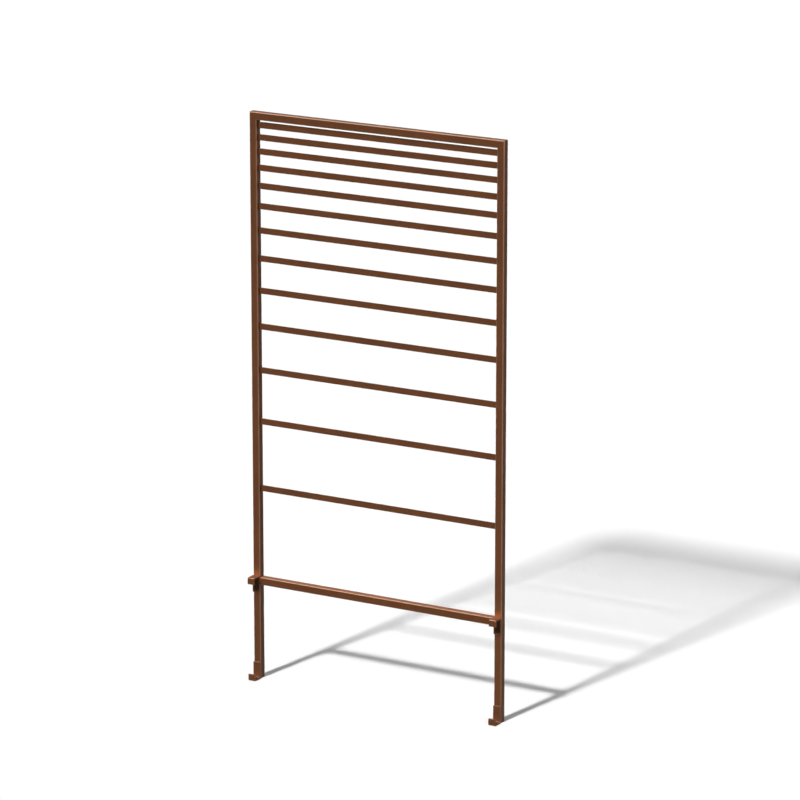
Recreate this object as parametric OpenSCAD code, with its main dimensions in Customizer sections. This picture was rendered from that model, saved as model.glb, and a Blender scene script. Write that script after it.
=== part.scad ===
// Planter trellis: a welded frame of square tube with graded flat slats,
// bent hooks for a planter's rim and bent feet that catch its base.
// Millimetres, +Z up, X across the frame, the planter's side towards -Y.
// The origin is at the middle of the footprint, on the ground.

/* [Frame] */
// Overall width of the frame across both legs
frame_w = 914.4; // [600:0.1:1500]
// Overall height from the ground to the top of the rail
frame_h = 1874.4; // [1700:0.1:2400]
// Side of the square tube
tube = 25.4; // [20:0.1:32]
// Wall of the square tube
tube_wall = 1.5; // [1:0.1:3]
// Outside corner radius of the square tube
tube_corner = 3; // [1:0.1:5]

/* [Slats] */
// Height of a slat's flat bar
slat_h = 20; // [12:0.5:22]
// Thickness of a slat's flat bar
slat_t = 3; // [2:0.5:8]
// Clear gap between the rail and slat 1
gap_01 = 7; // [4:0.5:40]
// Clear gap above slat 2
gap_02 = 19.5; // [4:0.5:60]
// Clear gap above slat 3
gap_03 = 25.5; // [4:0.5:60]
// Clear gap above slat 4
gap_04 = 32.5; // [4:0.5:80]
// Clear gap above slat 5
gap_05 = 38.5; // [4:0.5:80]
// Clear gap above slat 6
gap_06 = 45.5; // [4:0.5:90]
// Clear gap above slat 7
gap_07 = 59; // [4:0.5:100]
// Clear gap above slat 8
gap_08 = 71; // [4:0.5:120]
// Clear gap above slat 9
gap_09 = 85; // [4:0.5:140]
// Clear gap above slat 10
gap_10 = 97.5; // [4:0.5:150]
// Clear gap above slat 11
gap_11 = 124; // [4:0.5:180]
// Clear gap above slat 12
gap_12 = 149.5; // [4:0.5:220]
// Clear gap above slat 13
gap_13 = 202.5; // [4:0.5:280]

/* [Hooks and feet] */
// Height of the planter's rim, where the hooks rest
rim_h = 344; // [200:1:420]
// Thickness of the bent flat bar
bar_t = 5; // [4:0.5:8]
// Outside radius of a bend in the flat bar
bend_outer = 2.5; // [1:0.5:5]
// Inside radius of a bend in the flat bar
bend_inner = 1; // [0.5:0.5:4]
// Reach of the bent bar in front of the legs
reach = 36; // [30:1:60]
// Height of the lip at the end of the bent bar
lip_h = 22; // [15:1:35]
// Length of the bent bar's plate along the leg
plate_h = 56; // [40:1:90]

/* [Leg plugs] */
// Thickness of a plug's head below the leg
plug_head = 2; // [1.5:0.5:4]
// Length of a plug's shank inside the leg
plug_shank = 18; // [8:1:40]
// Clearance between a plug's shank and the tube's bore on each side
plug_clear = 0.2; // [0.1:0.05:0.5]
// Wall of a plug's hollow shank
plug_wall = 2; // [1.5:0.1:3]

/* [Finish] */
// Rust-brown coating of the steel
steel_colour = "saddlebrown"; // ["saddlebrown", "sienna", "dimgray"]
// Plastic of the leg plugs
plug_colour = "black"; // ["black", "dimgray"]

/* [Hidden] */
$fn = 48;
slat_gaps = [gap_01, gap_02, gap_03, gap_04, gap_05, gap_06, gap_07,
    gap_08, gap_09, gap_10, gap_11, gap_12, gap_13];
// Width left between the legs
inner_w = frame_w - 2 * tube;
// The footprint runs from the lips to the back of the legs, centred on the origin
leg_front_y = (reach - tube) / 2;
leg_mid_y = leg_front_y + tube / 2;
leg_x = (frame_w - tube) / 2;
bore = tube - 2 * tube_wall;
bore_corner = max(tube_corner - tube_wall, 0.2);
rail_mid_z = frame_h - tube / 2;
crossbar_mid_z = rim_h - tube / 2;
hook_top = rim_h + bar_t;
// How far a cutter runs past the solid that it cuts
over = 1;

// Sum of the first n gaps below the rail
function gap_sum(n) = n == 0 ? 0 : slat_gaps[n - 1] + gap_sum(n - 1);

// Height of the middle of slat n, counted from 1 at the top
function slat_mid_z(n) = frame_h - tube - gap_sum(n) - (n - 0.5) * slat_h;

// Square with rounded corners, centred on the origin
module rounded_square(side, r) {
    square([side, side - 2 * r], center = true);
    square([side - 2 * r, side], center = true);
    for (x = [-1, 1], y = [-1, 1])
        translate([x * (side / 2 - r), y * (side / 2 - r)])
            circle(r);
}

// Section of the square tube
module tube_section() {
    difference() {
        rounded_square(tube, tube_corner);
        rounded_square(bore, bore_corner);
    }
}

// Keeps what lies inside an outline in the frame's own plane, X across and Y up,
// for tubes that meet at mitres
module trim_to(outline) {
    intersection() {
        children();
        translate([0, leg_front_y + tube + over, 0])
            rotate([90, 0, 0])
                linear_extrude(tube + 2 * over)
                    polygon(outline);
    }
}

// Tube that stands on its plug, mitred at its top
module leg(side) {
    color(steel_colour)
        trim_to([
            [side * frame_w / 2, plug_head],
            [side * inner_w / 2, plug_head],
            [side * inner_w / 2, frame_h - tube],
            [side * frame_w / 2, frame_h],
        ])
            translate([side * leg_x, leg_mid_y, 0])
                linear_extrude(frame_h)
                    tube_section();
}

module left_leg() {
    leg(-1);
}

module right_leg() {
    leg(1);
}

// Tube along X, mitred at both ends
module top_rail() {
    color(steel_colour)
        trim_to([
            [-frame_w / 2, frame_h],
            [frame_w / 2, frame_h],
            [inner_w / 2, frame_h - tube],
            [-inner_w / 2, frame_h - tube],
        ])
            translate([-frame_w / 2, leg_mid_y, rail_mid_z])
                rotate([90, 0, 90])
                    linear_extrude(frame_w)
                        tube_section();
}

// Flat bar on edge, butted between the legs at the middle of their depth
module slat(n) {
    color(steel_colour)
        translate([0, leg_mid_y, slat_mid_z(n)])
            cube([inner_w, slat_t, slat_h], center = true);
}

// Tube along X, butted between the legs with its top level with the planter's rim
module crossbar() {
    color(steel_colour)
        translate([-inner_w / 2, leg_mid_y, crossbar_mid_z])
            rotate([90, 0, 90])
                linear_extrude(inner_w)
                    tube_section();
}

// Rectangle that stands on the X axis with its two lower corners rounded
module round_bottomed(w, h, r) {
    translate([r, 0])
        square([w - 2 * r, h]);
    translate([0, r])
        square([w, h - r]);
    for (x = [r, w - r])
        translate([x, r])
            circle(r);
}

// Side outline of the bent bar as a foot: X runs forwards from the leg's front face
// and Y runs up from the ground. The plate stands at the leg, the lip at the far end.
module bent_outline() {
    difference() {
        round_bottomed(reach, plate_h, bend_outer);
        translate([bar_t, bar_t])
            round_bottomed(reach - 2 * bar_t, plate_h, bend_inner);
        // What stands above the lip
        translate([reach / 2, lip_h])
            square([reach, plate_h]);
    }
}

// The outline turned to face forwards, and as wide as the leg
module bent_bar(side) {
    translate([side * leg_x + tube / 2, leg_front_y, 0])
        rotate([90, 0, -90])
            linear_extrude(tube)
                bent_outline();
}

module foot(side) {
    color(steel_colour)
        bent_bar(side);
}

// A foot turned upside down, to hang on the planter's rim
module hook(side) {
    color(steel_colour)
        translate([0, 0, hook_top])
            mirror([0, 0, 1])
                bent_bar(side);
}

module left_foot() {
    foot(-1);
}

module right_foot() {
    foot(1);
}

module left_hook() {
    hook(-1);
}

module right_hook() {
    hook(1);
}

// Plug with a head under the leg and a hollow shank in its bore
module leg_plug(side) {
    shank = bore - 2 * plug_clear;
    shank_corner = max(bore_corner - plug_clear, 0.1);
    color(plug_colour)
        translate([side * leg_x, leg_mid_y, 0]) {
            linear_extrude(plug_head)
                rounded_square(tube, tube_corner);
            translate([0, 0, plug_head])
                linear_extrude(plug_shank)
                    difference() {
                        rounded_square(shank, shank_corner);
                        square(shank - 2 * plug_wall, center = true);
                    }
        }
}

module left_leg_plug() {
    leg_plug(-1);
}

module right_leg_plug() {
    leg_plug(1);
}

left_leg();
right_leg();
top_rail();
slat(1);  // slat_01
slat(2);  // slat_02
slat(3);  // slat_03
slat(4);  // slat_04
slat(5);  // slat_05
slat(6);  // slat_06
slat(7);  // slat_07
slat(8);  // slat_08
slat(9);  // slat_09
slat(10);  // slat_10
slat(11);  // slat_11
slat(12);  // slat_12
slat(13);  // slat_13
crossbar();
left_hook();
right_hook();
left_foot();
right_foot();
left_leg_plug();
right_leg_plug();
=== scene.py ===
"""Planter trellis: tubes, graded slats, hooks, feet, welds and plugs, with their powder coat."""

import math

import bmesh
import bpy
from mathutils import Matrix, Vector


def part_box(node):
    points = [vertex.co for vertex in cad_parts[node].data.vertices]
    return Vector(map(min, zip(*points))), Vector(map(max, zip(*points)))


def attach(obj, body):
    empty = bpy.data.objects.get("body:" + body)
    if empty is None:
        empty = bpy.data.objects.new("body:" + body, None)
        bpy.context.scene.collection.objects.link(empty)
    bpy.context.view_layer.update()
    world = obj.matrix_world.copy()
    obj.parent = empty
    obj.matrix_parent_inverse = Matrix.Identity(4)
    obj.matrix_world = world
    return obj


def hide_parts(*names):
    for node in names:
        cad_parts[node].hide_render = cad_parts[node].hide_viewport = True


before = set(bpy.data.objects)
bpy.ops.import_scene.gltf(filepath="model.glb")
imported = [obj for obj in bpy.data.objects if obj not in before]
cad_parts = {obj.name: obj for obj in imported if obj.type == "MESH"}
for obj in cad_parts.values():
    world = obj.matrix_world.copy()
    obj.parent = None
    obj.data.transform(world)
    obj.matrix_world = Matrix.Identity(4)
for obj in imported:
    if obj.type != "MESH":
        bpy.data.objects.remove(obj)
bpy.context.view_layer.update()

bl_info = {
    "name": "Planter Trellis",
    "version": (1, 0, 0),
    "blender": (4, 5, 0),
    "location": "View3D > Sidebar > Trellis",
    "description": "Dresses a welded planter trellis: tubes, slats, hooks, feet, welds and plugs",
    "category": "Add Mesh",
}

MM = 0.001
BODY = "root"
COAT_SLOT = "coated_steel"
PLUG_SLOT = "plug_plastic"
SIDES = {"left": -1, "right": 1}
SLATS = sorted(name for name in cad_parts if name.startswith("slat_"))
# A face counts as flat when its normal is this close to an axis
FLAT_FACE = 0.999
# Most of the grain's relief lies between these two values
RELIEF_RANGE = (0.3, 0.7)


# Sizes and colours

class TrellisSizes(bpy.types.PropertyGroup):
    """Sizes of the trellis that its CAD boxes don't give"""
    tube_wall: bpy.props.FloatProperty(
        name="Tube wall", description="Wall of the square tube",
        default=1.5 * MM, min=0.5 * MM, precision=4, unit="LENGTH")
    tube_corner: bpy.props.FloatProperty(
        name="Tube corner", description="Outside corner radius of the square tube",
        default=3.0 * MM, min=0.2 * MM, precision=4, unit="LENGTH")
    slat_edge: bpy.props.FloatProperty(
        name="Slat edge", description="Radius of a slat's rolled edges",
        default=0.3 * MM, min=0.1 * MM, precision=4, unit="LENGTH")
    bend_outer: bpy.props.FloatProperty(
        name="Outside bend", description="Outside radius of a bend in a hook or a foot",
        default=2.5 * MM, min=0.5 * MM, precision=4, unit="LENGTH")
    bend_inner: bpy.props.FloatProperty(
        name="Inside bend", description="Inside radius of a bend in a hook or a foot",
        default=1.0 * MM, min=0.2 * MM, precision=4, unit="LENGTH")
    bar_edge: bpy.props.FloatProperty(
        name="Bar edge", description="Radius of the softened edges of a hook or a foot",
        default=0.6 * MM, min=0.1 * MM, precision=4, unit="LENGTH")
    bar_thickness: bpy.props.FloatProperty(
        name="Bar thickness", description="Thickness of the flat bar in a hook or a foot",
        default=5.0 * MM, min=2.0 * MM, precision=4, unit="LENGTH")
    bar_lip: bpy.props.FloatProperty(
        name="Lip", description="Height of the lip of a hook or a foot",
        default=22.0 * MM, min=8.0 * MM, precision=4, unit="LENGTH")
    weld_radius: bpy.props.FloatProperty(
        name="Weld radius", description="Radius of a weld bead behind a slat or under the crossbar",
        default=1.3 * MM, min=0.2 * MM, precision=4, unit="LENGTH")
    weld_pitch: bpy.props.FloatProperty(
        name="Weld ripple", description="Distance between two ripples of a weld bead",
        default=1.6 * MM, min=0.4 * MM, precision=4, unit="LENGTH")


class TrellisColours(bpy.types.PropertyGroup):
    """Colours and gloss of the trellis, and the colour of the floor"""
    coat: bpy.props.FloatVectorProperty(
        name="Coat", description="Rust-brown powder coat",
        default=(0.115, 0.0452, 0.02), size=3, min=0.0, max=1.0, subtype="COLOR")
    coat_warm: bpy.props.FloatVectorProperty(
        name="Coat, warm", description="Warmer patches of the powder coat",
        default=(0.133, 0.0502, 0.021), size=3, min=0.0, max=1.0, subtype="COLOR")
    fleck: bpy.props.FloatVectorProperty(
        name="Fleck", description="Pale flecks in the powder coat",
        default=(0.22, 0.11, 0.06), size=3, min=0.0, max=1.0, subtype="COLOR")
    gloss_tint: bpy.props.FloatVectorProperty(
        name="Gloss tint", description="Warm tint of the powder coat's gloss",
        default=(1.0, 0.68, 0.52), size=3, min=0.0, max=1.0, subtype="COLOR")
    flat_gloss: bpy.props.FloatProperty(
        name="Flat gloss", description="Specular level of the powder coat on flat faces",
        default=0.065, min=0.0, max=1.0)
    bend_gloss: bpy.props.FloatProperty(
        name="Corner gloss",
        description="Specular level of the coat on corners and welds, where it flows smooth",
        default=0.8, min=0.0, max=1.0)
    plug: bpy.props.FloatVectorProperty(
        name="Plug", description="Moulded plastic of the leg plugs",
        default=(0.012, 0.012, 0.013), size=3, min=0.0, max=1.0, subtype="COLOR")
    floor_shade: bpy.props.FloatVectorProperty(
        name="Floor bounce", description="Colour of the floor as the object's matt light sees it",
        default=(0.06, 0.06, 0.06), size=3, min=0.0, max=1.0, subtype="COLOR")


class TrellisStudio(bpy.types.PropertyGroup):
    """Camera and light of the studio"""
    view_turn: bpy.props.FloatProperty(
        name="View turn", description="Camera's turn about the upright from straight in front",
        default=math.radians(29.95), subtype="ANGLE")
    view_rise: bpy.props.FloatProperty(
        name="View rise", description="Camera's angle above the horizon",
        default=math.radians(15.03), subtype="ANGLE")
    distance: bpy.props.FloatProperty(
        name="Distance", description="From the camera to the point that it looks at",
        default=14.1085, min=1.0, unit="LENGTH")
    lens: bpy.props.FloatProperty(
        name="Lens", description="Focal length for a sensor 36 mm wide",
        default=202.32, min=1.0, unit="CAMERA")
    target: bpy.props.FloatVectorProperty(
        name="Target", description="Point that the camera looks at",
        default=(0.08978, 0.0061, 1.00725), size=3, precision=4, subtype="XYZ", unit="LENGTH")
    key_turn: bpy.props.FloatProperty(
        name="Key turn", description="Direction in which the key light travels, from +X towards +Y",
        default=math.radians(82.45), subtype="ANGLE")
    key_fall: bpy.props.FloatProperty(
        name="Key fall", description="Angle at which the key light falls below the horizontal",
        default=math.radians(43.24), subtype="ANGLE")
    key_spread: bpy.props.FloatProperty(
        name="Key spread", description="Angle that the key light covers in the sky",
        default=math.radians(4.5), min=0.0, subtype="ANGLE")
    key_power: bpy.props.FloatProperty(
        name="Key power", description="Strength of the key light", default=3.39, min=0.0)
    sky_power: bpy.props.FloatProperty(
        name="Sky power", description="Strength of the room overhead on matt surfaces",
        default=0.31, min=0.0)
    wall_power: bpy.props.FloatProperty(
        name="Wall power", description="Strength of the room near the horizon on matt surfaces",
        default=0.03, min=0.0)
    rim_power: bpy.props.FloatProperty(
        name="Rim power", description="Strength of the overhead strip light that shows in gloss alone",
        default=6.5, min=0.0)
    side_power: bpy.props.FloatProperty(
        name="Side power", description="Strength of the low strip light that shows in gloss alone",
        default=6.3, min=0.0)
    strip_spread: bpy.props.FloatProperty(
        name="Strip spread", description="Angle that a strip light covers",
        default=math.radians(20), min=0.0, subtype="ANGLE")
    strip_colour: bpy.props.FloatVectorProperty(
        name="Strip colour", description="Colour of the strip lights",
        default=(1.0, 0.82, 0.66), size=3, min=0.0, max=1.0, subtype="COLOR")
    fill_power: bpy.props.FloatProperty(
        name="Fill power", description="Strength of the wide soft light on the right",
        default=0.95, min=0.0)
    fill_spread: bpy.props.FloatProperty(
        name="Fill spread", description="Angle that the soft light covers",
        default=math.radians(40), min=0.0, subtype="ANGLE")
    ledge_power: bpy.props.FloatProperty(
        name="Ledge power", description="Strength of the light along the crossbar's top",
        default=0.06, min=0.0)
    corner_power: bpy.props.FloatProperty(
        name="Corner power", description="Strength of the light in the corner above a hook",
        default=195.0, min=0.0)
    channel_power: bpy.props.FloatProperty(
        name="Channel power", description="Strength of the light in the channel of a foot",
        default=82.0, min=0.0)
    accent_colour: bpy.props.FloatVectorProperty(
        name="Accent colour", description="Colour of the lights on the ledges",
        default=(1.0, 0.7, 0.56), size=3, min=0.0, max=1.0, subtype="COLOR")


# Meshes

def new_object(name, mesh):
    """Object at the origin, in the scene, that holds a mesh"""
    piece = bpy.data.objects.new(name, mesh)
    bpy.context.scene.collection.objects.link(piece)
    return piece


def bake_modifiers(piece):
    """Leaves a piece with the plain mesh that its modifiers give"""
    depsgraph = bpy.context.evaluated_depsgraph_get()
    baked = bpy.data.meshes.new_from_object(
        piece.evaluated_get(depsgraph), preserve_all_data_layers=True, depsgraph=depsgraph)
    raw = piece.data
    piece.modifiers.clear()
    piece.data = baked
    baked.name = piece.name
    bpy.data.meshes.remove(raw)


def even_normals(piece, crease=math.radians(40)):
    """Smooth rounded edges beside flat faces, with sharp creases past an angle"""
    mesh = piece.data
    mesh.polygons.foreach_set("use_smooth", [True] * len(mesh.polygons))
    mesh.set_sharp_from_angle(angle=crease)
    weighted = piece.modifiers.new("Even normals", "WEIGHTED_NORMAL")
    weighted.keep_sharp = True
    weighted.weight = 100
    bake_modifiers(piece)


def mesh_from(bm, name):
    """Plain mesh from a bmesh, with its doubles merged and its faces turned outwards"""
    bmesh.ops.remove_doubles(bm, verts=bm.verts, dist=1e-7)
    bmesh.ops.recalc_face_normals(bm, faces=bm.faces)
    mesh = bpy.data.meshes.new(name)
    bm.to_mesh(mesh)
    bm.free()
    return mesh


def hand_over(piece, material, slot, *nodes):
    """Gives a finished piece its material and its body, and hides the CAD nodes that it stands for"""
    if material:
        piece.data.materials.clear()
        piece.data.materials.append(material)
    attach(piece, BODY)
    if nodes:
        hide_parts(*nodes)


def arc(centre, radius, start, end, steps):
    """Points along an arc, from one angle to another"""
    points = []
    for i in range(steps + 1):
        angle = start + (end - start) * i / steps
        points.append((centre[0] + radius * math.cos(angle), centre[1] + radius * math.sin(angle)))
    return points


def rounded_square(half, radius, steps=8):
    """Points around a square with rounded corners, centred on the origin"""
    points = []
    for corner in range(4):
        start = corner * math.pi / 2
        turn = start + math.pi / 4
        middle = (half - radius) * math.sqrt(2)
        centre = (middle * math.cos(turn), middle * math.sin(turn))
        points += arc(centre, radius, start, start + math.pi / 2, steps)
    return points


# Square tube

def skin(bm, first, last):
    """Quads between two loops of vertices with as many points each"""
    count = len(first)
    for i in range(count):
        j = (i + 1) % count
        bm.faces.new((first[i], first[j], last[j], last[i]))


def tube_piece(name, sizes, place, start_cut, end_cut, side):
    """Length of hollow square tube. place turns (a, b, along) into a point in the frame,
    and each cut gives the place along the tube for a point (a, b) of its section."""
    bm = bmesh.new()
    outer = rounded_square(side / 2, sizes.tube_corner)
    bore_corner = max(sizes.tube_corner - sizes.tube_wall, 0.2 * MM)
    inner = rounded_square(side / 2 - sizes.tube_wall, bore_corner)
    loops = []
    for section in (outer, inner):
        for cut in (start_cut, end_cut):
            loops.append([bm.verts.new(place(a, b, cut(a, b))) for a, b in section])
    outer_start, outer_end, inner_start, inner_end = loops
    skin(bm, outer_start, outer_end)
    skin(bm, inner_start, inner_end)
    skin(bm, outer_start, inner_start)
    skin(bm, outer_end, inner_end)
    piece = new_object(name, mesh_from(bm, name))
    even_normals(piece)
    return piece


def coat_steel(piece, coat, corner_coat, node):
    """Gives a piece of steel its coat, with the smoother one on its rounded corners"""
    hand_over(piece, coat, COAT_SLOT, node)
    piece.data.materials.append(corner_coat)
    for face in piece.data.polygons:
        if max(abs(value) for value in face.normal) < FLAT_FACE:
            face.material_index = 1


def make_legs(sizes, coat, corner_coat):
    """Two legs, each mitred at the top to meet the rail"""
    for name, sign in SIDES.items():
        node = name + "_leg"
        low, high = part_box(node)
        side = high.x - low.x
        centre = (low + high) / 2

        def place(a, b, along):
            return Vector((centre.x + a, centre.y + b, along))

        def foot_cut(a, b):
            return low.z

        def mitre(a, b):
            return high.z - side / 2 + sign * a

        leg = tube_piece(name + "_leg_tube", sizes, place, foot_cut, mitre, side)
        coat_steel(leg, coat, corner_coat, node)


def make_rail(sizes, coat, corner_coat):
    """Rail across the top, mitred at both ends"""
    low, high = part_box("top_rail")
    side = high.z - low.z
    centre = (low + high) / 2

    def place(a, b, along):
        return Vector((along, centre.y + a, centre.z + b))

    def left_mitre(a, b):
        return low.x + side / 2 - b

    def right_mitre(a, b):
        return high.x - side / 2 + b

    rail = tube_piece("top_rail_tube", sizes, place, left_mitre, right_mitre, side)
    coat_steel(rail, coat, corner_coat, "top_rail")


def make_crossbar(sizes, coat, corner_coat):
    """Tube between the legs, cut square at both ends"""
    low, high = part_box("crossbar")
    centre = (low + high) / 2

    def place(a, b, along):
        return Vector((along, centre.y + a, centre.z + b))

    def left_cut(a, b):
        return low.x

    def right_cut(a, b):
        return high.x

    bar = tube_piece("crossbar_tube", sizes, place, left_cut, right_cut, high.z - low.z)
    coat_steel(bar, coat, corner_coat, "crossbar")


# Geometry Nodes

def socket(tree, name, kind, direction="INPUT", default=None):
    """Named socket on a node tree's interface"""
    item = tree.interface.new_socket(name=name, in_out=direction, socket_type="NodeSocket" + kind)
    if default is not None:
        item.default_value = default


def add(tree, kind, **settings):
    """Node of a kind, with its settings"""
    node = tree.nodes.new(kind)
    for key, value in settings.items():
        setattr(node, key, value)
    return node


def feed(tree, target, source):
    """Sets a socket to a plain value, or links it to another socket"""
    if isinstance(source, bpy.types.NodeSocket):
        tree.links.new(source, target)
    elif source is not None:
        target.default_value = source


def calc(tree, operation, a, b=None):
    """Result of a Math node"""
    node = add(tree, "ShaderNodeMath", operation=operation)
    for target, source in zip(node.inputs, (a, b)):
        feed(tree, target, source)
    return node.outputs[0]


def along_x(tree, length):
    """Vector along X"""
    node = add(tree, "ShaderNodeCombineXYZ")
    feed(tree, node.inputs["X"], length)
    return node.outputs[0]


def close_tree(tree, geometry, material):
    """Ends a geometry tree in real geometry with a material"""
    real = add(tree, "GeometryNodeRealizeInstances")
    feed(tree, real.inputs["Geometry"], geometry)
    painted = add(tree, "GeometryNodeSetMaterial")
    feed(tree, painted.inputs["Geometry"], real.outputs["Geometry"])
    feed(tree, painted.inputs["Material"], material)
    out = add(tree, "NodeGroupOutput")
    feed(tree, out.inputs["Geometry"], painted.outputs["Geometry"])


def grow(piece, tree, **values):
    """Runs a geometry tree on a piece, with its inputs set by name, and keeps the result"""
    modifier = piece.modifiers.new(tree.name, "NODES")
    modifier.node_group = tree
    for item in tree.interface.items_tree:
        key = item.name.lower().replace(" ", "_")
        if item.in_out == "INPUT" and key in values:
            modifier[item.identifier] = values[key]
    piece.update_tag()
    bake_modifiers(piece)
    if not piece.data.polygons:
        raise RuntimeError(piece.name + " came out of its node tree empty")


def slat_tree():
    """Flat bar with rolled edges, laid across at each point"""
    tree = bpy.data.node_groups.new("Flat bar slat", "GeometryNodeTree")
    tree.is_modifier = True
    socket(tree, "Geometry", "Geometry")
    socket(tree, "Length", "Float", default=0.864)
    socket(tree, "Height", "Float", default=0.02)
    socket(tree, "Thickness", "Float", default=0.003)
    socket(tree, "Edge Radius", "Float", default=0.0005)
    socket(tree, "Edge Steps", "Int", default=4)
    socket(tree, "Material", "Material")
    socket(tree, "Geometry", "Geometry", "OUTPUT")
    given = add(tree, "NodeGroupInput").outputs
    section = add(tree, "GeometryNodeCurvePrimitiveQuadrilateral")
    feed(tree, section.inputs["Width"], given["Thickness"])
    feed(tree, section.inputs["Height"], given["Height"])
    rolled = add(tree, "GeometryNodeFilletCurve", mode="POLY")
    feed(tree, rolled.inputs["Curve"], section.outputs["Curve"])
    feed(tree, rolled.inputs["Count"], given["Edge Steps"])
    feed(tree, rolled.inputs["Radius"], given["Edge Radius"])
    half = calc(tree, "MULTIPLY", given["Length"], 0.5)
    line = add(tree, "GeometryNodeCurvePrimitiveLine")
    feed(tree, line.inputs["Start"], along_x(tree, calc(tree, "MULTIPLY", half, -1.0)))
    feed(tree, line.inputs["End"], along_x(tree, half))
    bar = add(tree, "GeometryNodeCurveToMesh")
    feed(tree, bar.inputs["Curve"], line.outputs["Curve"])
    feed(tree, bar.inputs["Profile Curve"], rolled.outputs["Curve"])
    feed(tree, bar.inputs["Fill Caps"], True)
    laid = add(tree, "GeometryNodeInstanceOnPoints")
    feed(tree, laid.inputs["Points"], given["Geometry"])
    feed(tree, laid.inputs["Instance"], bar.outputs["Mesh"])
    close_tree(tree, laid.outputs["Instances"], given["Material"])
    return tree


def make_slats(sizes, material):
    """One bar for each slat, butted between the legs"""
    tree = slat_tree()
    for node in SLATS:
        low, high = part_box(node)
        carrier = bpy.data.meshes.new(node)
        carrier.from_pydata([(low + high) / 2], [], [])
        slat = new_object(node + "_bar", carrier)
        size = high - low
        grow(slat, tree, length=size.x, height=size.z, thickness=size.y,
             edge_radius=sizes.slat_edge, material=material)
        even_normals(slat)
        hand_over(slat, None, COAT_SLOT, node)


def weld_tree():
    """Weld bead with even ripples along each edge of a carrier"""
    steps_per_ripple = 6.0
    taper_radii = 1.5
    end_width = 0.35
    bead_sides = 12
    tree = bpy.data.node_groups.new("Weld bead", "GeometryNodeTree")
    tree.is_modifier = True
    socket(tree, "Geometry", "Geometry")
    socket(tree, "Bead Radius", "Float", default=0.0013)
    socket(tree, "Ripple Pitch", "Float", default=0.0016)
    socket(tree, "Ripple Depth", "Float", default=0.10)
    socket(tree, "Unevenness", "Float", default=0.25)
    socket(tree, "Seed", "Int", default=7)
    socket(tree, "Material", "Material")
    socket(tree, "Geometry", "Geometry", "OUTPUT")
    given = add(tree, "NodeGroupInput").outputs
    seam = add(tree, "GeometryNodeMeshToCurve")
    feed(tree, seam.inputs["Mesh"], given["Geometry"])
    stepped = add(tree, "GeometryNodeResampleCurve", mode="LENGTH")
    feed(tree, stepped.inputs["Curve"], seam.outputs["Curve"])
    feed(tree, stepped.inputs["Length"], calc(tree, "DIVIDE", given["Ripple Pitch"], steps_per_ripple))
    along = add(tree, "GeometryNodeSplineParameter").outputs["Length"]
    whole = add(tree, "GeometryNodeSplineLength").outputs["Length"]
    turns = calc(tree, "MULTIPLY", calc(tree, "DIVIDE", along, given["Ripple Pitch"]), math.tau)
    ripple = calc(tree, "MULTIPLY", calc(tree, "SINE", turns), given["Ripple Depth"])
    place = add(tree, "GeometryNodeInputPosition").outputs["Position"]
    seeded = add(tree, "ShaderNodeVectorMath", operation="ADD")
    feed(tree, seeded.inputs[0], place)
    feed(tree, seeded.inputs[1], along_x(tree, given["Seed"]))
    noise = add(tree, "ShaderNodeTexNoise")
    feed(tree, noise.inputs["Vector"], seeded.outputs[0])
    feed(tree, noise.inputs["Scale"], 220.0)
    feed(tree, noise.inputs["Detail"], 2.0)
    about_zero = calc(tree, "SUBTRACT", noise.outputs["Fac"], 0.5)
    wobble = calc(tree, "MULTIPLY", about_zero, given["Unevenness"])
    to_end = calc(tree, "MINIMUM", along, calc(tree, "SUBTRACT", whole, along))
    taper = add(tree, "ShaderNodeMapRange", interpolation_type="SMOOTHSTEP")
    feed(tree, taper.inputs["Value"], to_end)
    feed(tree, taper.inputs["From Max"], calc(tree, "MULTIPLY", given["Bead Radius"], taper_radii))
    feed(tree, taper.inputs["To Min"], end_width)
    swell = calc(tree, "ADD", calc(tree, "ADD", 1.0, ripple), wobble)
    tapered = calc(tree, "MULTIPLY", swell, taper.outputs["Result"])
    radius = calc(tree, "MULTIPLY", tapered, given["Bead Radius"])
    ring = add(tree, "GeometryNodeCurvePrimitiveCircle")
    feed(tree, ring.inputs["Resolution"], bead_sides)
    feed(tree, ring.inputs["Radius"], 1.0)
    bead = add(tree, "GeometryNodeCurveToMesh")
    feed(tree, bead.inputs["Curve"], stepped.outputs["Curve"])
    feed(tree, bead.inputs["Profile Curve"], ring.outputs["Curve"])
    feed(tree, bead.inputs["Scale"], radius)
    feed(tree, bead.inputs["Fill Caps"], True)
    close_tree(tree, bead.outputs["Mesh"], given["Material"])
    return tree


def slat_seams(inset):
    """Corners behind each slat, where it meets the legs"""
    seams = []
    for node in SLATS:
        low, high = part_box(node)
        for x in (low.x + inset, high.x - inset):
            y = high.y + inset
            seams.append((Vector((x, y, low.z + inset)), Vector((x, y, high.z - inset))))
    return seams


def crossbar_seams(inset, corner):
    """Corners under the crossbar, where it meets the legs"""
    low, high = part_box("crossbar")
    seams = []
    for x in (low.x + inset, high.x - inset):
        z = low.z - inset
        seams.append((Vector((x, low.y + corner, z)), Vector((x, high.y - corner, z))))
    return seams


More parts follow.
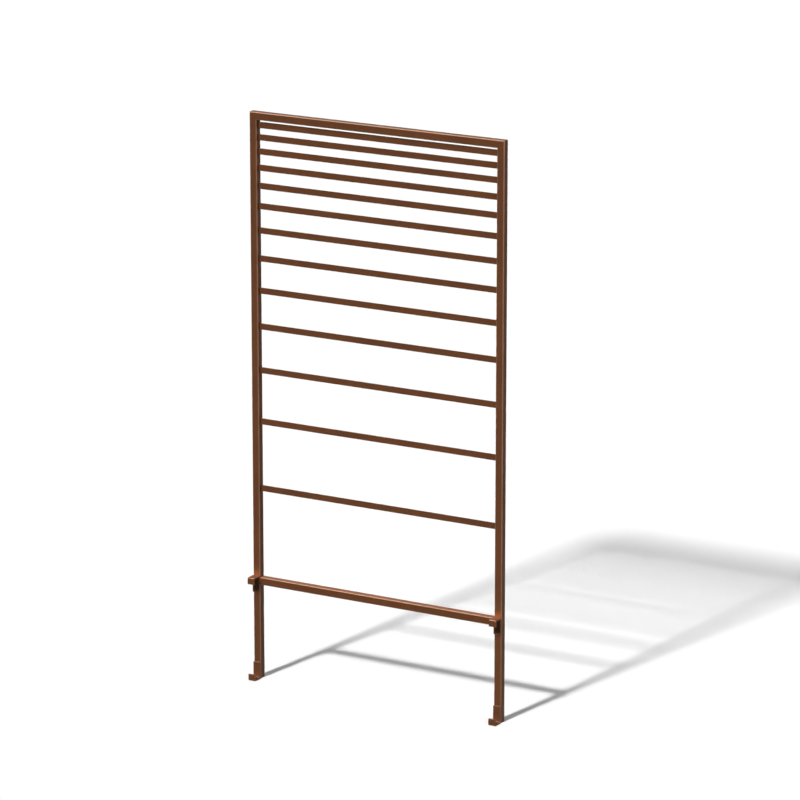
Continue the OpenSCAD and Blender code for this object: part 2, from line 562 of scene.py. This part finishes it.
def bracket_seams(inset, corner, stitch):
    """A bead across the end of each hook's and foot's plate, and stitches in the leg behind it"""
    # Known fault: this deep in the leg's corner the stitches are buried in the tube, and don't show
    stitch_depth = corner * 0.75
    stitch_starts = (stitch * 0.4, stitch * 2.2)
    seams = []
    for name in SIDES:
        leg_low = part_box(name + "_leg")[0]
        for part, step in (("_hook", 1), ("_foot", -1)):
            low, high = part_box(name + part)
            end_z = low.z if part == "_hook" else high.z
            edge = end_z - step * inset
            y = leg_low.y - inset
            seams.append((Vector((low.x + corner, y, edge)), Vector((high.x - corner, y, edge))))
            for x in (low.x + stitch_depth, high.x - stitch_depth):
                for start in stitch_starts:
                    z = end_z + step * start
                    top = z + step * stitch
                    seams.append((Vector((x, leg_low.y + stitch_depth, min(z, top))),
                                  Vector((x, leg_low.y + stitch_depth, max(z, top)))))
    return seams


def make_welds(sizes, material):
    """Beads behind the slats, under the crossbar and at the hooks and feet"""
    tree = weld_tree()
    radius = sizes.weld_radius
    bracket_radius = sizes.weld_radius * 0.62
    stitch = 9 * MM
    # The middle line of every bead but the stitches stands this far off the faces that it joins
    inset = sizes.weld_radius * 0.2
    groups = {
        "slat_welds": (slat_seams(inset), radius),
        "crossbar_welds": (crossbar_seams(inset, sizes.tube_corner), radius),
        "bracket_welds": (bracket_seams(inset, sizes.tube_corner, stitch), bracket_radius),
    }
    for name, (seams, bead_radius) in groups.items():
        points = [end for seam in seams for end in seam]
        edges = [(i, i + 1) for i in range(0, len(points), 2)]
        carrier = bpy.data.meshes.new(name)
        carrier.from_pydata(points, edges, [])
        welds = new_object(name, carrier)
        grow(welds, tree, bead_radius=bead_radius, ripple_pitch=sizes.weld_pitch, material=material)
        even_normals(welds, math.radians(60))
        hand_over(welds, None, COAT_SLOT)


# Hooks and feet

def bent_outline(sizes, reach, plate):
    """Side outline of the bent bar as a foot: forwards from the leg, and up from the ground"""
    thick = sizes.bar_thickness
    lip = sizes.bar_lip
    outer = sizes.bend_outer
    inner = sizes.bend_inner
    quarter = math.pi / 2
    bend_steps = 10
    points = [(0.0, plate)]
    points += arc((outer, outer), outer, 2 * quarter, 3 * quarter, bend_steps)
    points += arc((reach - outer, outer), outer, 3 * quarter, 4 * quarter, bend_steps)
    points += [(reach, lip), (reach - thick, lip)]
    inner_right = (reach - thick - inner, thick + inner)
    inner_left = (thick + inner, thick + inner)
    points += arc(inner_right, inner, 4 * quarter, 3 * quarter, bend_steps)
    points += arc(inner_left, inner, 3 * quarter, 2 * quarter, bend_steps)
    points.append((thick, plate))
    return points


def bent_piece(name, sizes, low, high, upside_down):
    """Bent flat bar as wide as its box, with softened edges"""
    outline = bent_outline(sizes, high.y - low.y, high.z - low.z)
    bm = bmesh.new()
    ends = []
    for x in (low.x, high.x):
        loop = []
        for forwards, up in outline:
            z = high.z - up if upside_down else low.z + up
            loop.append(bm.verts.new((x, high.y - forwards, z)))
        bm.faces.new(loop)
        ends.append(loop)
    skin(bm, ends[0], ends[1])
    piece = new_object(name, mesh_from(bm, name))
    soft = piece.modifiers.new("Softened edges", "BEVEL")
    soft.width = sizes.bar_edge
    soft.segments = 4
    soft.limit_method = "ANGLE"
    soft.angle_limit = math.radians(50)
    soft.use_clamp_overlap = True
    bake_modifiers(piece)
    even_normals(piece)
    return piece


def make_brackets(sizes, coat, corner_coat):
    """Hooks for the planter's rim and feet that catch its base"""
    for name in SIDES:
        for part in ("hook", "foot"):
            node = name + "_" + part
            low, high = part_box(node)
            bracket = bent_piece(node + "_bar", sizes, low, high, part == "hook")
            coat_steel(bracket, coat, corner_coat, node)


# Plugs

def make_plugs(sizes, material):
    """Plugs in the legs: a head on the ground, and a hollow ribbed shank in the bore"""
    rib_count = 4
    rib = 0.15 * MM
    rib_half = 0.6 * MM
    wall = 2 * MM
    clear = 0.2 * MM
    # Known fault: too sharp for the bore, so the corners run 0.1 mm into the tube, the ribs' 0.3 mm
    corner = 0.6 * MM
    corner_steps = 6
    # The head's lower edge is rounded in two facets
    edge = 0.5 * MM
    edge_middle = 0.15 * MM
    for name in SIDES:
        node = name + "_leg_plug"
        low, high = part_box(node)
        head_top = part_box(name + "_leg")[0].z
        side = high.x - low.x
        centre = (low + high) / 2
        half_bore = side / 2 - sizes.tube_wall
        shank = half_bore - clear
        pitch = (high.z - head_top) / (rib_count + 1)
        levels = [(side / 2 - edge, sizes.tube_corner - edge, low.z),
                  (side / 2 - edge_middle, sizes.tube_corner - edge_middle, low.z + edge_middle),
                  (side / 2, sizes.tube_corner, low.z + edge),
                  (side / 2, sizes.tube_corner, head_top),
                  (shank, corner, head_top)]
        for i in range(1, rib_count + 1):
            z = head_top + i * pitch
            levels += [(shank, corner, z - rib_half), (shank + rib, corner, z),
                       (shank, corner, z + rib_half)]
        levels += [(shank, corner, high.z), (shank - wall, corner, high.z),
                   (shank - wall, corner, head_top)]
        bm = bmesh.new()
        loops = []
        for half, radius, z in levels:
            loops.append([bm.verts.new((centre.x + a, centre.y + b, z))
                          for a, b in rounded_square(half, radius, corner_steps)])
        for below, above in zip(loops, loops[1:]):
            skin(bm, below, above)
        bm.faces.new(loops[0])
        bm.faces.new(loops[-1])
        plug = new_object(name + "_leg_plug_moulding", mesh_from(bm, name + "_leg_plug"))
        even_normals(plug)
        hand_over(plug, material, PLUG_SLOT, node)


# Materials

def shader_group(name, inputs, outputs):
    """New shader node group with its sockets, and its input and output nodes"""
    group = bpy.data.node_groups.new(name, "ShaderNodeTree")
    for label, kind, default in inputs:
        socket(group, label, kind, default=default)
    for label, kind in outputs:
        socket(group, label, kind, "OUTPUT")
    return group, add(group, "NodeGroupInput").outputs, add(group, "NodeGroupOutput").inputs


def noise_at(tree, vector, scale, detail, roughness):
    """Factor of a Noise Texture"""
    node = add(tree, "ShaderNodeTexNoise")
    feed(tree, node.inputs["Vector"], vector)
    feed(tree, node.inputs["Scale"], scale)
    feed(tree, node.inputs["Detail"], detail)
    feed(tree, node.inputs["Roughness"], roughness)
    return node.outputs["Fac"]


def ramp(tree, value, low, high, to_low=0.0, to_high=1.0):
    """Value carried smoothly from one range to another"""
    node = add(tree, "ShaderNodeMapRange", interpolation_type="SMOOTHSTEP")
    for label, source in (("Value", value), ("From Min", low), ("From Max", high),
                          ("To Min", to_low), ("To Max", to_high)):
        feed(tree, node.inputs[label], source)
    return node.outputs["Result"]


def blend_colours(tree, factor, first, second):
    """Mix of two colours"""
    node = add(tree, "ShaderNodeMix", data_type="RGBA")
    feed(tree, node.inputs[0], factor)
    feed(tree, node.inputs[6], first)
    feed(tree, node.inputs[7], second)
    return node.outputs[2]


def blend_values(tree, factor, first, second):
    """Mix of two numbers"""
    node = add(tree, "ShaderNodeMix", data_type="FLOAT")
    feed(tree, node.inputs[0], factor)
    feed(tree, node.inputs[2], first)
    feed(tree, node.inputs[3], second)
    return node.outputs[0]


def grain_group():
    """Sandy grain of a sprayed or moulded surface: its relief, its flecks and its slow patches"""
    group, given, out = shader_group(
        "Surface grain",
        [("Grain Size", "Float", 0.0012), ("Patch Size", "Float", 0.12), ("Fleck Share", "Float", 0.2)],
        [("Relief", "Float"), ("Flecks", "Float"), ("Patches", "Float")])
    fine_share = 0.7
    coarse_share = 0.3
    coarse_scale = 0.35
    fleck_scale = 0.8
    fleck_shift = (3.7, 1.9, 5.3)
    fleck_edge = 0.08
    place = add(group, "ShaderNodeTexCoord").outputs["Object"]
    per_grain = calc(group, "DIVIDE", 1.0, given["Grain Size"])
    fine = noise_at(group, place, per_grain, 3.0, 0.6)
    coarse = noise_at(group, place, calc(group, "MULTIPLY", per_grain, coarse_scale), 1.0, 0.5)
    relief = calc(group, "ADD", calc(group, "MULTIPLY", fine, fine_share),
                  calc(group, "MULTIPLY", coarse, coarse_share))
    feed(group, out["Relief"], relief)
    shifted = add(group, "ShaderNodeVectorMath", operation="ADD")
    feed(group, shifted.inputs[0], place)
    feed(group, shifted.inputs[1], fleck_shift)
    speck = noise_at(group, shifted.outputs[0], calc(group, "MULTIPLY", per_grain, fleck_scale), 1.0, 0.5)
    threshold = calc(group, "SUBTRACT", 0.78, calc(group, "MULTIPLY", given["Fleck Share"], 0.4))
    feed(group, out["Flecks"], ramp(group, speck, threshold, calc(group, "ADD", threshold, fleck_edge)))
    slow = noise_at(group, place, calc(group, "DIVIDE", 1.0, given["Patch Size"]), 3.0, 0.55)
    feed(group, out["Patches"], ramp(group, slow, 0.35, 0.65))
    return group


def new_material(name):
    """Material with a Principled BSDF, and its tree"""
    material = bpy.data.materials.new(name)
    material.use_nodes = True
    tree = material.node_tree
    return material, tree, tree.nodes["Principled BSDF"].inputs


def place_group(tree, group, **values):
    """Places a node group in a material with its own values"""
    node = add(tree, "ShaderNodeGroup", node_tree=group)
    for label, value in values.items():
        node.inputs[label.replace("_", " ").title()].default_value = value
    return node.outputs


def relief_on(tree, surface, height, strength, depth):
    """Bump on a material's surface"""
    bump = add(tree, "ShaderNodeBump")
    feed(tree, bump.inputs["Height"], height)
    feed(tree, bump.inputs["Strength"], strength)
    feed(tree, bump.inputs["Distance"], depth)
    feed(tree, surface["Normal"], bump.outputs["Normal"])


def coat_material(name, colours, grain, grain_size, relief, rough, gloss):
    """Rust-brown powder coat with a sandy grain"""
    fleck_strength = 0.35
    rough_swing = 0.06
    grain_depth = 0.25 * MM
    material, tree, surface = new_material(name)
    marks = place_group(tree, grain, grain_size=grain_size, patch_size=0.10, fleck_share=0.3)
    base = blend_colours(tree, marks["Patches"], (*colours.coat, 1), (*colours.coat_warm, 1))
    flecked = blend_colours(
        tree, calc(tree, "MULTIPLY", marks["Flecks"], fleck_strength), base, (*colours.fleck, 1))
    feed(tree, surface["Base Color"], flecked)
    feed(tree, surface["Roughness"],
         ramp(tree, marks["Relief"], *RELIEF_RANGE, rough - rough_swing, rough + rough_swing))
    feed(tree, surface["Specular IOR Level"], gloss)
    feed(tree, surface["Specular Tint"], (*colours.gloss_tint, 1))
    relief_on(tree, surface, marks["Relief"], relief, grain_depth)
    return material


def plug_material(colours, grain):
    """Moulded black plastic with a fine spark texture"""
    scuff_gain = 2.5
    scuff_strength = 0.4
    smooth, rough = 0.5, 0.65
    material, tree, surface = new_material("Moulded plug")
    marks = place_group(tree, grain, grain_size=0.0006, patch_size=0.03, fleck_share=0.0)
    scuffed = tuple(min(1.0, channel * scuff_gain) for channel in colours.plug)
    feed(tree, surface["Base Color"],
         blend_colours(tree, calc(tree, "MULTIPLY", marks["Patches"], scuff_strength),
                       (*colours.plug, 1), (*scuffed, 1)))
    feed(tree, surface["Roughness"], ramp(tree, marks["Relief"], *RELIEF_RANGE, smooth, rough))
    relief_on(tree, surface, marks["Relief"], strength=0.3, depth=0.08 * MM)
    return material


MATERIALS = {}


def make_materials(colours):
    """Every finish of the trellis, kept by name for the operators"""
    grain = grain_group()
    MATERIALS["tube"] = coat_material(
        "Coat on tube", colours, grain, grain_size=1.3 * MM, relief=0.5, rough=0.42,
        gloss=colours.flat_gloss)
    MATERIALS["corner"] = coat_material(
        "Coat on corner", colours, grain, grain_size=1.3 * MM, relief=0.5, rough=0.42,
        gloss=colours.bend_gloss)
    MATERIALS["bar"] = coat_material(
        "Coat on flat bar", colours, grain, grain_size=1.3 * MM, relief=0.5, rough=0.46,
        gloss=colours.flat_gloss)
    MATERIALS["weld"] = coat_material(
        "Coat on weld", colours, grain, grain_size=1.0 * MM, relief=0.4, rough=0.45,
        gloss=colours.bend_gloss)
    MATERIALS["plug"] = plug_material(colours, grain)


# Studio

def shown(tree):
    """1 on the rays that show the background: to the camera, in gloss and through glass"""
    rays = add(tree, "ShaderNodeLightPath").outputs
    clear = calc(tree, "MAXIMUM", rays["Is Glossy Ray"], rays["Is Transmission Ray"])
    return calc(tree, "MAXIMUM", rays["Is Camera Ray"], clear)


def floor_material(colours):
    """White floor that keeps shadows, and sends less matt light back to the object"""
    material, tree, surface = new_material("Studio floor")
    feed(tree, surface["Base Color"],
         blend_colours(tree, shown(tree), (*colours.floor_shade, 1), (1.0, 1.0, 1.0, 1)))
    feed(tree, surface["Roughness"], 1.0)
    feed(tree, surface["Specular IOR Level"], 0.0)
    return material


def make_floor(colours):
    """Plain floor under the trellis"""
    half = 60.0
    mesh = bpy.data.meshes.new("studio_floor")
    corners = [(-half, -half, 0), (half, -half, 0), (half, half, 0), (-half, half, 0)]
    mesh.from_pydata(corners, [], [(0, 1, 2, 3)])
    floor = new_object("studio_floor", mesh)
    floor.data.materials.append(floor_material(colours))


def make_room(studio):
    """World that looks white, and lights matt surfaces softly from overhead"""
    world = bpy.data.worlds.new("Studio room")
    world.use_nodes = True
    tree = world.node_tree
    ways = add(tree, "ShaderNodeSeparateXYZ")
    feed(tree, ways.inputs[0], add(tree, "ShaderNodeTexCoord").outputs["Generated"])
    matt = ramp(tree, ways.outputs["Z"], 0.1, 0.9, studio.wall_power, studio.sky_power)
    room = tree.nodes["Background"].inputs
    feed(tree, room["Color"], (1.0, 1.0, 1.0, 1.0))
    feed(tree, room["Strength"], blend_values(tree, shown(tree), matt, 1.0))
    bpy.context.scene.world = world


def aimed_lamp(name, kind, place, travel, power, colour):
    """Lamp that shines from a place in a direction"""
    light = bpy.data.lights.new(name, kind)
    light.energy = power
    light.color = colour
    lamp = new_object(name, light)
    lamp.location = place
    lamp.rotation_euler = travel.to_track_quat("-Z", "Y").to_euler()
    return lamp


def sun_lamp(name, travel, power, spread, colour=(1.0, 1.0, 1.0)):
    """Distant light that travels in a direction"""
    # A sun's place changes nothing but where it is seen in Blender's own view
    stand_off = 6
    lamp = aimed_lamp(name, "SUN", -travel * stand_off, travel, power, colour)
    lamp.data.angle = spread
    return lamp


def make_accents(studio):
    """Faint warm lights on the ledges: one along the crossbar's top, and one in the
    corner above each hook and above each foot's floor"""
    low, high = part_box("crossbar")
    top = Vector(((low.x + high.x) / 2, (low.y + high.y) / 2, high.z))
    strip_rise = Vector((0, 0, 100 * MM))
    flat_share = 0.7
    strip = aimed_lamp("crossbar_accent", "AREA", top + strip_rise, Vector((0, 0, -1)),
                       studio.ledge_power, studio.accent_colour)
    strip.data.shape = "RECTANGLE"
    strip.data.size = high.x - low.x
    strip.data.size_y = (high.y - low.y) * flat_share
    strip.data.spread = math.radians(8)
    strip.visible_camera = False
    strip.visible_glossy = False
    travel = Vector((-0.15, 0.75, -0.65)).normalized()
    # How far in front of the leg, and how high, each spot is aimed
    hook_front, hook_rise = 4 * MM, 1 * MM
    foot_front, foot_rise = 7 * MM, 8 * MM
    hook_distance, hook_cone = 1.4, math.radians(1.6)
    foot_distance, foot_cone = 1.0, math.radians(1.0)
    for name in SIDES:
        hook_low, hook_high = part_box(name + "_hook")
        foot_low, foot_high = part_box(name + "_foot")
        middle = (hook_low.x + hook_high.x) / 2
        above_hook = Vector((middle, hook_high.y - hook_front, hook_high.z + hook_rise))
        in_foot = Vector((middle, foot_high.y - foot_front, foot_low.z + foot_rise))
        for part, corner, distance, cone, power in (
                ("_hook", above_hook, hook_distance, hook_cone, studio.corner_power),
                ("_foot", in_foot, foot_distance, foot_cone, studio.channel_power)):
            spot = aimed_lamp(name + part + "_accent", "SPOT", corner - travel * distance, travel,
                              power, studio.accent_colour)
            spot.data.spot_size = cone
            spot.data.spot_blend = 1.0
            spot.data.shadow_soft_size = 10 * MM
            spot.visible_glossy = False


def make_lights(studio):
    """Key light from the front, soft fill on the right, two strips for the gloss alone, and accents"""
    rim_way = Vector((0.49, 0.28, -0.83))
    side_way = Vector((-0.99, -0.03, -0.06))
    fill_way = Vector((-0.98, 0.12, -0.16))
    level = math.cos(studio.key_fall)
    travel = Vector((math.cos(studio.key_turn) * level, math.sin(studio.key_turn) * level,
                     -math.sin(studio.key_fall)))
    sun_lamp("key_light", travel, studio.key_power, studio.key_spread)
    for name, way, power in (("rim_light", rim_way, studio.rim_power),
                             ("side_light", side_way, studio.side_power)):
        strip = sun_lamp(name, way, power, studio.strip_spread, studio.strip_colour)
        strip.visible_diffuse = False
    sun_lamp("fill_light", fill_way, studio.fill_power, studio.fill_spread)
    make_accents(studio)


def make_camera(studio):
    """Camera at the photograph's angle"""
    turn, rise = studio.view_turn, studio.view_rise
    right = Vector((math.cos(turn), math.sin(turn), 0))
    back = Vector((math.sin(turn) * math.cos(rise), -math.cos(turn) * math.cos(rise), math.sin(rise)))
    up = back.cross(right)
    camera = bpy.data.cameras.new("photo_camera")
    camera.sensor_width = 36.0
    camera.lens = studio.lens
    camera.clip_end = 200.0
    holder = new_object("photo_camera", camera)
    place = Vector(studio.target) + back * studio.distance
    holder.matrix_world = Matrix.Translation(place) @ Matrix((right, up, back)).transposed().to_4x4()
    bpy.context.scene.camera = holder


# Operators

class TRELLIS_OT_materials(bpy.types.Operator):
    """Make the powder coat and the plug's plastic"""
    bl_idname = "trellis.materials"
    bl_label = "Finishes"

    def execute(self, context):
        make_materials(context.scene.trellis_colours)
        return {"FINISHED"}


class TRELLIS_OT_tubes(bpy.types.Operator):
    """Make the legs, the top rail and the crossbar"""
    bl_idname = "trellis.tubes"
    bl_label = "Tubes"

    def execute(self, context):
        finish = (context.scene.trellis_sizes, MATERIALS["tube"], MATERIALS["corner"])
        make_legs(*finish)
        make_rail(*finish)
        make_crossbar(*finish)
        return {"FINISHED"}


class TRELLIS_OT_slats(bpy.types.Operator):
    """Make the slats"""
    bl_idname = "trellis.slats"
    bl_label = "Slats"

    def execute(self, context):
        make_slats(context.scene.trellis_sizes, MATERIALS["bar"])
        return {"FINISHED"}


class TRELLIS_OT_brackets(bpy.types.Operator):
    """Make the hooks and the feet"""
    bl_idname = "trellis.brackets"
    bl_label = "Hooks and feet"

    def execute(self, context):
        make_brackets(context.scene.trellis_sizes, MATERIALS["bar"], MATERIALS["corner"])
        return {"FINISHED"}


class TRELLIS_OT_welds(bpy.types.Operator):
    """Make the weld beads"""
    bl_idname = "trellis.welds"
    bl_label = "Welds"

    def execute(self, context):
        make_welds(context.scene.trellis_sizes, MATERIALS["weld"])
        return {"FINISHED"}


class TRELLIS_OT_plugs(bpy.types.Operator):
    """Make the plugs in the legs"""
    bl_idname = "trellis.plugs"
    bl_label = "Leg plugs"

    def execute(self, context):
        make_plugs(context.scene.trellis_sizes, MATERIALS["plug"])
        return {"FINISHED"}


class TRELLIS_OT_stage(bpy.types.Operator):
    """Make the floor, the room, the lights and the camera"""
    bl_idname = "trellis.stage"
    bl_label = "Studio"

    def execute(self, context):
        scene = context.scene
        make_floor(scene.trellis_colours)
        make_room(scene.trellis_studio)
        make_lights(scene.trellis_studio)
        make_camera(scene.trellis_studio)
        scene.view_settings.view_transform = "Standard"
        return {"FINISHED"}


STEPS = (TRELLIS_OT_stage, TRELLIS_OT_materials, TRELLIS_OT_tubes, TRELLIS_OT_slats,
         TRELLIS_OT_brackets, TRELLIS_OT_welds, TRELLIS_OT_plugs)


class TRELLIS_PT_panel(bpy.types.Panel):
    """Steps, sizes, colours and studio of the trellis"""
    bl_idname = "TRELLIS_PT_panel"
    bl_label = "Planter Trellis"
    bl_space_type = "VIEW_3D"
    bl_region_type = "UI"
    bl_category = "Trellis"

    def draw(self, context):
        scene = context.scene
        for step in STEPS:
            self.layout.operator(step.bl_idname)
        for settings in (scene.trellis_sizes, scene.trellis_colours, scene.trellis_studio):
            box = self.layout.box()
            for name in settings.__annotations__:
                box.prop(settings, name)


CLASSES = (TrellisSizes, TrellisColours, TrellisStudio, *STEPS, TRELLIS_PT_panel)


def register():
    for cls in CLASSES:
        bpy.utils.register_class(cls)
    bpy.types.Scene.trellis_sizes = bpy.props.PointerProperty(type=TrellisSizes)
    bpy.types.Scene.trellis_colours = bpy.props.PointerProperty(type=TrellisColours)
    bpy.types.Scene.trellis_studio = bpy.props.PointerProperty(type=TrellisStudio)


def unregister():
    del bpy.types.Scene.trellis_studio
    del bpy.types.Scene.trellis_colours
    del bpy.types.Scene.trellis_sizes
    for cls in reversed(CLASSES):
        bpy.utils.unregister_class(cls)


def main():
    register()
    bpy.ops.trellis.stage()
    bpy.ops.trellis.materials()
    bpy.ops.trellis.tubes()
    bpy.ops.trellis.slats()
    bpy.ops.trellis.brackets()
    bpy.ops.trellis.welds()
    bpy.ops.trellis.plugs()


if __name__ == "__main__":
    main()
